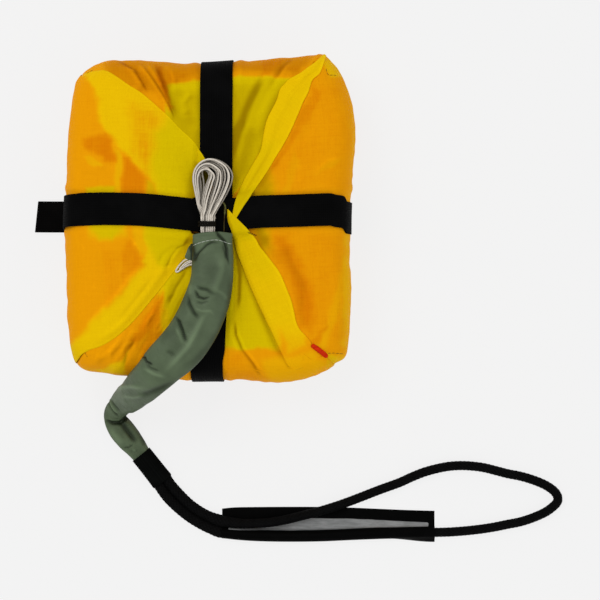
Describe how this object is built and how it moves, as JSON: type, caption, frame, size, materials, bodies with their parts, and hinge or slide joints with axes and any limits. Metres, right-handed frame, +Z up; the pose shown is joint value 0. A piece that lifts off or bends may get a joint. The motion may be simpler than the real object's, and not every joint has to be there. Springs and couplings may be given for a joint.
{
  "type": "packed parachute",
  "caption": "Folded parachute canopy wrapped in thin cloth flaps, held by crossed elastic straps, with a banded line hank, a line sleeve and a looped bridle rope.",
  "frame": {"origin": "middle of the flat underside, on the lengthways strap where the two elastic straps cross", "axes": "+Z up out of the flat underside, towards the line hank; +Y away from the side where the line sleeve runs down; +X to the right with the rope's loop"},
  "size_m": [0.4229, 0.3919, 0.1036],
  "materials": {
    "canopy_cloth": "light coated nylon",
    "wrap_cloth": "light coated nylon, slightly see-through",
    "wrap_hem": "light coated nylon, doubled",
    "elastic_webbing": "ribbed elastic",
    "suspension_line": "braided line",
    "closing_cord": "thin braided cord",
    "band_rubber": "matt",
    "tab_ribbon": "woven ribbon",
    "sleeve_cloth": "light coated nylon",
    "rope_sheath": "braided sheath",
    "label_film": "printed film, left bare"
  },
  "bodies": {
    "root": {"canopy_block": "canopy_cloth", "flap_right": "wrap_cloth", "flap_back": "wrap_cloth", "flap_front": "wrap_cloth", "flap_left": "wrap_cloth", "fold_back": "wrap_hem", "fold_front": "wrap_hem", "strap_lengthways": "elastic_webbing", "strap_across": "elastic_webbing", "line_hank": "suspension_line", "line_bight": "suspension_line", "closing_loop": "closing_cord", "rubber_band": "band_rubber", "pull_tab": "tab_ribbon", "line_sleeve": "sleeve_cloth", "bridle_cover": "elastic_webbing", "bridle_rope": "rope_sheath", "bridle_label": "label_film"}
  },
  "joints": []
}
